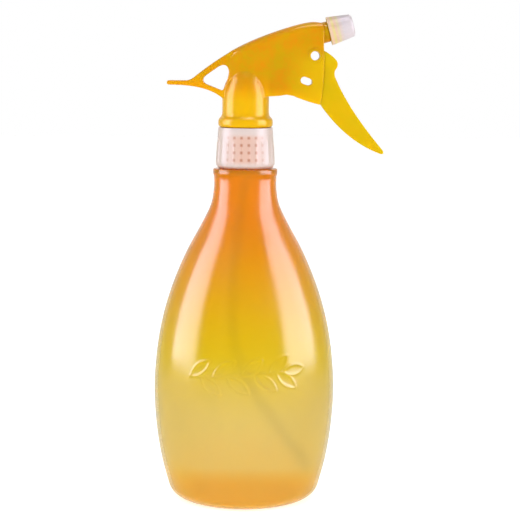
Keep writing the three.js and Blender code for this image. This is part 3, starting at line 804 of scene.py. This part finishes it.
def screw_collar():
    """Frosted collar with outer grip ribs and an inner thread."""
    rib_top = COLLAR_TOP - 6.3
    side = [(15.25 - (z - COLLAR_SHOULDER) * 0.0646, z) for z in
            [COLLAR_SHOULDER + (COLLAR_TOP - COLLAR_SHOULDER) * i / 40 for i in range(41)]]
    outside = softened([(13.9, COLLAR_BOTTOM), (15.05, COLLAR_BOTTOM + 1.2)] + side[:1], 0.5, closed=False)
    outside = outside[:-1] + side[:-1]
    top = softened(
        [side[-2], side[-1], (10.9, COLLAR_TOP), (10.9, 192.75), (13, 192.75), (13, 189.8), (13.55, 189.6)],
        0.45, closed=False,
    )[1:]
    inside = [(13.55, 189.4 - 0.3 * i) for i in range(52)] + [(13.55, COLLAR_BOTTOM)]
    profile = outside + top + inside
    side_end = len(outside)
    inside_start = side_end + len(top)

    def relief(angle, radius, height, index):
        if index < side_end:
            near = (angle / TURN * COLLAR_RIBS) % 1 - 0.5
            rise = min(1, max(0, (height - COLLAR_BOTTOM - 0.8) / 1.5), max(0, (rib_top - height) / 1.2))
            return rise * (0.26 * bump_at(near, 0.3) - 0.05)
        if index >= inside_start:
            return -0.65 * thread(angle, height, 178.5, 2, THREAD_PITCH, 0.95)
        return 0.0

    made = turned("screw_collar_ribbed", profile, COLLAR_RIBS * 12, relief=relief)
    finish_piece(made, "screw_collar", "collar_body", FROSTED_COLLAR, 50)


def neck_gasket():
    low, high = depth_along("neck_gasket", 2)
    profile = softened([(10.4, low), (12.4, low), (12.4, high), (10.4, high)], 0.25)
    made = turned("neck_gasket_ring", profile)
    finish_piece(made, "neck_gasket", "gasket_body", RUBBER)


# ------------------------------------------------------------------ sprayer head

def shell_outline():
    """Side view of the head's shell."""
    shell = Outline(-8.6, 212).line(-8.6, 233.2)
    shell.quad(5, 241, 24, 246.6, 30).quad(32.5, 249.1, 36, 248.7, 12).line(39.8, 248.1)
    shell.line(40, 236.4).quad(40.9, 221, 38.4, 206.4).quad(30.5, 208.3, 24.5, 210.9, 12)
    return shell.line(21, 211.5).line(17.5, 210.9).line(8, 210.3).points


def rounded_spine(points):
    """A solid as wide as the shell whose top follows the shell's and is rounded across."""
    crown = points[1:1 + 30 + 12 + 1]
    before, after = crown[0] - crown[1], crown[-1] - crown[-2]
    line = [crown[0] + before.normalized() * 12] + crown + [crown[-1] + after.normalized() * 12]
    corner, bottom, narrow = 4.4, 196.0, 5.1
    vertices, faces = [], []
    arc = [math.pi / 2 * i / 10 for i in range(11)]
    for point in line:
        share = min(1, max(0, (point.x - points[1].x) / 8))
        half = narrow + (SHELL_WIDTH / 2 - narrow) * math.sin(share * math.pi / 2)
        vertices.append((point.x, half, bottom))
        for side in (1, -1):
            for a in arc if side > 0 else arc[::-1]:
                y = side * (half - corner + corner * math.cos(a))
                vertices.append((point.x, y, point.y + corner * (math.sin(a) - 1)))
        vertices.append((point.x, -half, bottom))
    count = 2 * len(arc) + 2
    for i in range(len(line) - 1):
        for k in range(count):
            j = (k + 1) % count
            low, high = i * count, (i + 1) * count
            faces.append([low + k, low + j, high + j, high + k])
    faces.append(list(range(count)))
    faces.append(list(range(len(vertices) - count, len(vertices))))
    return new_object("spine", vertices, faces)


def hand_rest():
    """The rear hand rest, with its rounded three-cornered window."""
    tail = Outline(-39.6, 216.2).cubic(-26, 216.2, -17, 214.2, -11, 208.6).line(-6, 212).line(-4, 230)
    tail.line(-4, 235.4).quad(-13, 230.9, -25.6, 221.1).quad(-28.2, 218.6, -31, 218.5).line(-39.6, 218.5)
    tail.arc(-39.6, 217.35, 1.15, math.pi / 2, 1.5 * math.pi, 8)
    window = Outline(-12.1, 213.4).line(-20.4, 216.7).quad(-23.3, 218.4, -20.8, 220.9).line(-14.4, 225.4)
    window.quad(-9.2, 228.4, -8.7, 222.9).quad(-9.2, 218.6, -11.2, 214.4)
    solid = slab("tail", tail.points, 10, 0.9)
    return combine(solid, [slab("window", window.points, 14)], "DIFFERENCE")


def sprayer_body():
    """The head's moulding: neck, dome, shell, barrel, pump cylinder, riser and hand rest, in one skin."""
    outline = shell_outline()
    shell = combine(slab("shell", outline, SHELL_WIDTH), [rounded_spine(outline)], "INTERSECT")

    def ceiling(x):
        return BARREL_START_Z + x * math.tan(BARREL_TILT) - 4.2

    room = [(12.6, 200), (50, 200), (50, ceiling(50)), (12.6, ceiling(12.6))]
    combine(shell, [slab("room", softened(room, 1.5), SHELL_WIDTH - 2.6)], "DIFFERENCE")
    neck = turned("neck", [(0, 192.7)] + softened([
        (10.5, 192.7), (10.5, 194.6), (13.4, 194.6), (14.15, 195.6), (14.15, 198.4), (13.3, 199.5),
        (12.6, 200.1), (12.1, 201.6), (12.1, 209.5), (11.75, 213.4), (10.7, 216.7), (9.2, 220), (7, 223.6),
        (4, 226.2), (1.5, 227.3)
    ], 1.2, 5, closed=False) + [(0, 227.5)], 96)
    barrel = turned("barrel", [(0, 6)] + softened([
        (5.35, 6), (5.35, 43.9), (4.6, 43.9), (4.6, 52.1), (4.2, 52.5)
    ], 0.3, closed=False) + [(0, 52.5)], 72)
    barrel.data.transform(BARREL_FRAME @ ALONG_X)
    ridge = [
        Vector((4.6 * math.cos(TURN * i / 40), 4.6 * math.sin(TURN * i / 40), 45.6 + 2.6 * i / 40))
        for i in range(81)
    ]
    barrel_thread = swept("barrel_thread", ridge, 0.6, 8)
    barrel_thread.data.transform(BARREL_FRAME @ ALONG_X)
    cylinder = rod(5.8, 4, 19.4, matrix=Matrix.Translation((0, 0, CYLINDER_Z)) @ ALONG_X)
    rib = box("rib", (5, -1, 223), (19, 1, 235))
    riser_top = rod(4.4, 201, 233)
    combine(shell, [hand_rest(), neck, barrel, barrel_thread, cylinder, rib, riser_top], "UNION")
    cavity = turned("cavity", [(0, 191.7), (9.6, 191.7), (9.6, 209.5), (5.4, 217), (0, 217)], 72)
    oval = Outline(1.25, -1.85).arc(1.25, 0, 1.85, -math.pi / 2, math.pi / 2)
    oval.arc(-1.25, 0, 1.85, math.pi / 2, 1.5 * math.pi)
    port = slab("port", oval.points, 2 * SHELL_WIDTH)
    port.data.transform(Matrix.Translation((31.2, 0, 218.5)) @ Matrix.Rotation(math.radians(20), 4, "Y"))
    pivot_hole = rod(2.95, -14, 14, matrix=Matrix.Translation(PIVOT) @ Matrix.Rotation(math.pi / 2, 4, "X"))
    at_pump = Matrix.Translation((0, 0, CYLINDER_Z)) @ ALONG_X
    in_barrel = BARREL_FRAME @ ALONG_X
    combine(shell, [
        cavity,
        port,
        pivot_hole,
        rod(4.7, CYLINDER_BACK, 20.4, matrix=at_pump),
        rod(1.2, 0, CYLINDER_BACK + 1, 32, at_pump),
        rod(1.3, 0, 31, 32, in_barrel),
        rod(3.0, 30, 53.5, 48, in_barrel),
    ], "DIFFERENCE")
    riser = rod(4.4, 201, 218)
    combine(shell, [riser], "UNION")
    combine(shell, [rod(2.8, 200, 231.5)], "DIFFERENCE")
    moulded(shell, 0.28, 10)
    shell.name = "sprayer_body_moulding"
    finish_piece(shell, "sprayer_body", "head_body", AMBER, 70)


def trigger():
    """Hollow trigger lever with its hub, finger bump, arm and piston nose."""
    nose_x, nose_z, nose = 29.8, 212.9, 1.5
    t = Outline(38.4, 206.7).line(30.4, 209.9)
    t.arc(nose_x, nose_z, nose, -math.pi / 2 - 0.3, -1.5 * math.pi, 12)
    t.line(34, nose_z + nose).line(34, 224).line(PIVOT.x - 4.1, PIVOT.z - 2)
    t.arc(PIVOT.x, PIVOT.z, 4.1, math.pi, math.pi / 3, 16)
    t.quad(42, 233.8, 45.9, 230, 12).quad(48.2, 227.6, 46.7, 225.2, 12).quad(45, 223.4, 46, 220.6, 12)
    t.quad(53, 204.2, 70.9, 183.4, 30).quad(72.2, 181.2, 70.2, 181.2, 6).quad(52, 187.4, 38.4, 206.7, 30)
    solid = slab("trigger", t.points[:-1], TRIGGER_WIDTH)
    inside = TRIGGER_WIDTH - 2.8
    head = [(36.4, 225.6), (44.3, 225.6), (43.2, 222), (47.8, 211), (38, 214.7), (36.4, 214.7)]
    lever = Outline(44.1, 220).quad(52.5, 201.5, 68.6, 183.2, 24).line(72, 176).line(36, 200).line(39.4, 206)
    arm = [(31.5, 211.4), (41, 211.4), (41, 202), (31.5, 202)]
    hole = rod(2.95, -9, 9, matrix=Matrix.Translation(PIVOT) @ Matrix.Rotation(math.pi / 2, 4, "X"))
    combine(solid, [
        slab("head_room", softened(head, 0.8), inside),
        slab("lever_room", lever.points, inside),
        slab("arm_room", arm, inside),
        hole,
    ], "DIFFERENCE")
    moulded(solid, 0.24, 14)
    solid.name = "trigger_lever"
    finish_piece(solid, "trigger", "trigger_body", AMBER_TRIGGER, 70)


def pivot_sleeve():
    """Hollow rivet through the side plates and the trigger."""
    half, face = SHELL_WIDTH / 2 + 0.6, SHELL_WIDTH / 2 + 0.1
    profile = softened([
        (2.35, -half), (3.6, -half), (3.6, -face), (2.8, -face),
        (2.8, face), (3.6, face), (3.6, half), (2.35, half)
    ], 0.3)
    made = turned("pivot_sleeve", profile, 72)
    made.data.transform(Matrix.Translation(PIVOT) @ Matrix.Rotation(math.pi / 2, 4, "X"))
    finish_piece(made, "trigger_pivot_sleeve", "head_body", AMBER)


# ------------------------------------------------------------------ intake

def intake_fitting():
    profile = softened([
        (3.6, 182.4), (3.6, 191.2), (11.9, 191.2), (11.9, 192.6), (9.45, 192.6), (9.45, 198.5), (8.25, 198.5),
        (8.25, 194.3), (4.2, 194.3), (4.2, 200.7), (3.2, 200.7), (3.2, 199.3), (2.3, 199.3), (2.3, 194.3),
        (1.3, 194.3), (1.3, 192.8), (2.45, 192.8), (2.45, 182.4)
    ], 0.25, 3)
    made = turned("intake_plug", profile, 96)
    finish_piece(made, "intake_fitting", "head_body", NATURAL)


def inlet_valve_cap():
    profile = softened([
        (1.3, 199.4), (3.05, 199.4), (3.05, 200.7), (2.65, 200.7), (2.65, 207), (1.3, 207)
    ], 0.2, 3)
    made = turned("inlet_cage_cap", profile, 64)
    finish_piece(made, "inlet_valve_cap", "head_body", NATURAL)


def valve_ball(name, node, body):
    """A glass ball in the place of its CAD node."""
    low, high = (from_axis(corner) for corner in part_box(node))
    radius = (high.y - low.y) / 2
    steps = 24
    arc = [-math.pi / 2 + math.pi * i / steps for i in range(1, steps)]
    profile = [(0, -radius)] + [(radius * math.cos(a), radius * math.sin(a)) for a in arc] + [(0, radius)]
    made = turned(name, profile, 48)
    made.data.transform(Matrix.Translation((low + high) / 2))
    finish_piece(made, node, body, GLASS, 80)


# The dip tube's curl: it bows back, then reaches the front corner of the base.
TUBE_ROUTE = [
    (0, 192.5),
    (0, 181),
    (-1, 160),
    (-4.5, 132),
    (-6.5, 105),
    (-4.5, 79),
    (4, 57.5),
    (15, 41),
    (26.5, 25),
    (34.5, 13),
]


def dip_tube():
    path = [Vector((p.x, 0, p.y)) for p in spline(TUBE_ROUTE, 120)]
    made = swept("dip_tube_hose", path, 2.3, 32, bore=1.7)
    finish_piece(made, "dip_tube", "head_body", NATURAL, 50)


# ------------------------------------------------------------------ pump

def pump_piston():
    """Piston head with two seal grooves, its rod, and the crown that the trigger pushes."""
    profile = [(0, 14.2)] + softened([
        (4.2, 14.2), (4.2, 14.8), (3.5, 14.8), (3.5, 16), (4.2, 16), (4.2, 17.1), (3.5, 17.1), (3.5, 18.3),
        (4.2, 18.3), (4.2, 19), (2.6, 19), (2.6, 27.1)
    ], 0.12, 2, closed=False) + [(0, 27.1)]
    shaft = turned("pump_piston_rod", profile, 64)
    shaft.data.transform(Matrix.Translation((0, 0, CYLINDER_Z)) @ ALONG_X)
    crown = slab("crown", softened([(26.6, 211.2), (28, 211.2), (28, 224.5), (26.6, 224.5)], 0.3), 10, 0.3)
    combine(shaft, [crown], "UNION")
    finish_piece(shaft, "pump_piston", "piston_body", NATURAL)


def piston_seal(name, node, start, lip_back):
    """A seal ring whose lip flares towards one face."""
    wide, narrow = 4.55, 4.35
    profile = softened([
        (3.6, start), (wide if lip_back else narrow, start), (narrow if lip_back else wide, start + 1),
        (3.6, start + 1)
    ], 0.2)
    made = turned(name, profile, 72)
    made.data.transform(Matrix.Translation((0, 0, CYLINDER_Z)) @ ALONG_X)
    finish_piece(made, node, "piston_body", RUBBER)


def coil(name, radius, wire, turns, start, end):
    """A compression spring along Z with closed ends."""
    steps = int(turns * 28)
    first, last = start + wire, end - wire
    path = []
    for i in range(steps + 1):
        at = i / steps
        eased = at - 0.09 * math.sin(TURN * at)
        angle = TURN * turns * at
        along = first + (last - first) * eased
        path.append(Vector((radius * math.cos(angle), radius * math.sin(angle), along)))
    return swept(name, path, wire, 12)


def return_spring():
    made = coil("return_spring_coil", 3.2, 0.3, 4, CYLINDER_BACK + 0.1, PISTON_HEAD - 0.1)
    made.data.transform(Matrix.Translation((0, 0, CYLINDER_Z)) @ ALONG_X)
    finish_piece(made, "return_spring", "head_body", STEEL, 80)
    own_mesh(made)


# ------------------------------------------------------------------ outlet and nozzle, along the barrel

SPRING_START, SPRING_END = 34.3, 41.3


def outlet_spring():
    made = coil("outlet_spring_coil", 1.9, 0.2, 5, SPRING_START + 0.1, SPRING_END - 0.1)
    finish_piece(
        made, "outlet_valve_spring", "head_body", STEEL, 80, BARREL_FRAME @ ALONG_X
    )
    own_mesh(made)


def swirl_core():
    """Fluted stem that spins the water in front of the orifice."""
    profile = [(0, 41.3)] + softened([
        (2.35, 41.3), (2.85, 41.8), (2.85, 51.4), (1.2, 51.4), (1.2, 53.1)
    ], 0.15, 3, closed=False) + [(0, 53.1)]
    made = turned("swirl_core_stem", profile, 64)
    flutes = []
    for side in range(3):
        flute = box("flute", (1.95, -0.45, 40.4), (3.75, 0.45, 52.4))
        flute.data.transform(Matrix.Rotation(TURN * side / 3 + math.pi / 2, 4, "Z"))
        flutes.append(flute)
    combine(made, flutes, "DIFFERENCE")
    finish_piece(made, "swirl_core", "head_body", NATURAL, 35, BARREL_FRAME @ ALONG_X)


def nozzle_seal():
    made = turned("nozzle_seal_ring", softened([(3.3, 52.6), (4.4, 52.6), (4.4, 53.4), (3.3, 53.4)], 0.2), 64)
    finish_piece(
        made, "nozzle_seal", "nozzle_seal_body", RUBBER, 35, BARREL_FRAME @ ALONG_X
    )


def nozzle_cap():
    """Frosted cone with shallow grip flutes, an inner thread and the orifice."""
    back, front = 44.1, 57.1
    slope = [(7.4 - (x - back) * 0.131, x) for x in [back + 0.5 + 11.3 * i / 24 for i in range(25)]]
    outside = softened([(5.75, back), (7.25, back)] + slope[:1], 0.35, closed=False)[:-1] + slope[:-1]
    nose = softened([
        slope[-2], slope[-1], (5.35, 56.6), (4.3, front), (1.9, front), (1.2, 56.5),
        (0.45, 56.5), (0.45, 53.5), (5.55, 53.5), (5.55, 53)
    ], 0.5, closed=False)[1:]
    inside = [(5.55, 52.8 - 0.2 * i) for i in range(43)]
    profile = outside + nose + inside
    side_end = len(outside)
    inside_start = side_end + len(nose)

    def relief(angle, radius, height, index):
        if index < side_end:
            rise = min(1, max(0, (height - back - 1.2) / 1.0), max(0, (front - 2.6 - height) / 1.0))
            near = (angle / TURN * 18) % 1 - 0.5
            return -0.16 * rise * bump_at(near, 0.32)
        if index >= inside_start:
            return -0.55 * thread(angle, height, 46.9, 1.2, 2.6, 0.7)
        return 0.0

    made = turned("nozzle_cap_cone", profile, 18 * 8, relief=relief)
    finish_piece(
        made, "nozzle_cap", "nozzle_cap_body", FROSTED_NOZZLE, 50, BARREL_FRAME @ ALONG_X
    )


# ------------------------------------------------------------------ studio

WHITE = (1, 1, 1, 1)
BACKDROP = 1.0
ROOM_IN_FRONT = 0.02
ROOM_BEHIND = 0.94
ROOM_ASIDE = (0.84, 0.72, 0.42, 1.0)
# Where a direction's Y, and the size of its X, carry the room from one to the other.
ROOM_TURNS_WHITE = (-0.1, 0.45)
ROOM_TURNS_WARM = (0.45, 0.75)
# Name, place, width and height in metres, radiance, and whether it lights surfaces or only shines in them.
AREA_LIGHTS = (
    ("soft_box_left", (-0.70, -0.07, 0.47), (0.50, 0.85), 8.4, False),
    ("soft_box_right", (0.69, -0.13, 0.47), (0.66, 0.85), 8.4, False),
    ("strip_above", (0.05, -0.15, 0.95), (0.5, 0.16), 12.0, False),
    ("key_light", (-0.55, -0.75, 0.85), (0.6, 0.6), 1.6, True),
    ("fill_light", (0.75, -0.6, 0.6), (0.6, 0.6), 1.0, True),
    ("front_wall", (0.0, -1.6, 0.9), (4.0, 2.6), 1.12, True),
)
# A light below this height stands upright. The others tilt towards the object.
TALL_BOX_Z = 0.5
LIT_POINT = Vector((0, 0, 0.14))
COOL_WHITE = (0.93, 0.91, 1.1)


def floor_material():
    """Plain white studio paper, lit from below so that it shows no horizon."""
    material, tree, shader = node_material("studio_floor", 0.9)
    tint = mixed(tree, noise(tree, 6, 4), linear(252, 252, 252), linear(255, 255, 255))
    tree.links.new(tint, shader.inputs["Base Color"])
    shader.inputs["Specular IOR Level"].default_value = 0.0
    shader.inputs["Emission Color"].default_value = (1, 1, 1, 1)
    shader.inputs["Emission Strength"].default_value = 0.68
    return material


def floor():
    bpy.ops.mesh.primitive_plane_add(size=8, location=(0, 0, -0.0005))
    made = bpy.context.object
    made.name = "studio_floor"
    made.data.materials.append(floor_material())
    made.visible_glossy = False


def room():
    """All but the camera sees a room that is dark in front, white behind and warm at the sides."""
    world = bpy.data.worlds.new("studio_world")
    bpy.context.scene.world = world
    world.use_nodes = True
    tree = world.node_tree
    background = tree.nodes["Background"]
    is_camera = tree.nodes.new("ShaderNodeLightPath").outputs["Is Camera Ray"]
    direction = tree.nodes.new("ShaderNodeTexCoord").outputs["Generated"]
    toward_back = coordinate(tree, "Y", direction)
    strength = ranged(tree, toward_back, ROOM_IN_FRONT, ROOM_BEHIND, ROOM_TURNS_WHITE)
    aside = computed(tree, "ABSOLUTE", coordinate(tree, "X", direction))
    at_sides = ranged(tree, aside, 0, 1, ROOM_TURNS_WARM)
    colour = mixed(tree, at_sides, WHITE, ROOM_ASIDE)
    tree.links.new(mixed(tree, is_camera, colour, WHITE), background.inputs["Color"])
    seen = tree.nodes.new("ShaderNodeMix")
    seen.inputs["B"].default_value = BACKDROP
    tree.links.new(is_camera, seen.inputs["Factor"])
    tree.links.new(strength, seen.inputs["A"])
    tree.links.new(seen.outputs["Result"], background.inputs["Strength"])


def area_light(name, place, size, radiance, lights_surfaces):
    light = bpy.data.lights.new(name, "AREA")
    light.shape = "RECTANGLE"
    light.size, light.size_y = size
    light.energy = radiance * math.pi * size[0] * size[1]
    if not lights_surfaces:
        light.color = COOL_WHITE
    lamp = bpy.data.objects.new(name, light)
    lamp.location = place
    facing = LIT_POINT - Vector(place)
    if place[2] < TALL_BOX_Z:
        facing.z = 0
    lamp.rotation_euler = facing.to_track_quat("-Z", "Y").to_euler()
    lamp.visible_diffuse = lights_surfaces
    lamp.visible_transmission = lights_surfaces
    lamp.visible_glossy = not lights_surfaces
    lamp.visible_camera = False
    bpy.context.scene.collection.objects.link(lamp)


def studio():
    """A white floor, the room, soft boxes that only show as reflections, and lights that never do."""
    floor()
    room()
    for values in AREA_LIGHTS:
        area_light(*values)
    bpy.context.scene.view_settings.view_transform = "Standard"


EYE = Vector((AXIS_X + 0.008, -0.832, 0.2288))
EYE_PITCH = math.radians(7.1)
EYE_ROLL = math.radians(0.41)
LENS_MM = 110.8


def camera():
    data = bpy.data.cameras.new("camera")
    data.lens = LENS_MM
    data.sensor_width = 36.0
    data.clip_start = 0.01
    eye = bpy.data.objects.new("camera", data)
    eye.matrix_world = (
        Matrix.Translation(EYE)
        @ Matrix.Rotation(math.pi / 2 - EYE_PITCH, 4, "X")
        @ Matrix.Rotation(EYE_ROLL, 4, "Z")
    )
    bpy.context.scene.collection.objects.link(eye)
    bpy.context.scene.camera = eye


camera()
bottle()
screw_collar()
neck_gasket()
sprayer_body()
trigger()
pivot_sleeve()
intake_fitting()
inlet_valve_cap()
valve_ball("inlet_ball", "inlet_valve_ball", "inlet_ball_body")
dip_tube()
pump_piston()
piston_seal("cup_seal_ring", "piston_cup_seal", 14.9, True)
piston_seal("vent_seal_ring", "piston_vent_seal", 17.2, False)
return_spring()
valve_ball("outlet_ball", "outlet_valve_ball", "outlet_ball_body")
outlet_spring()
swirl_core()
nozzle_seal()
nozzle_cap()
studio()
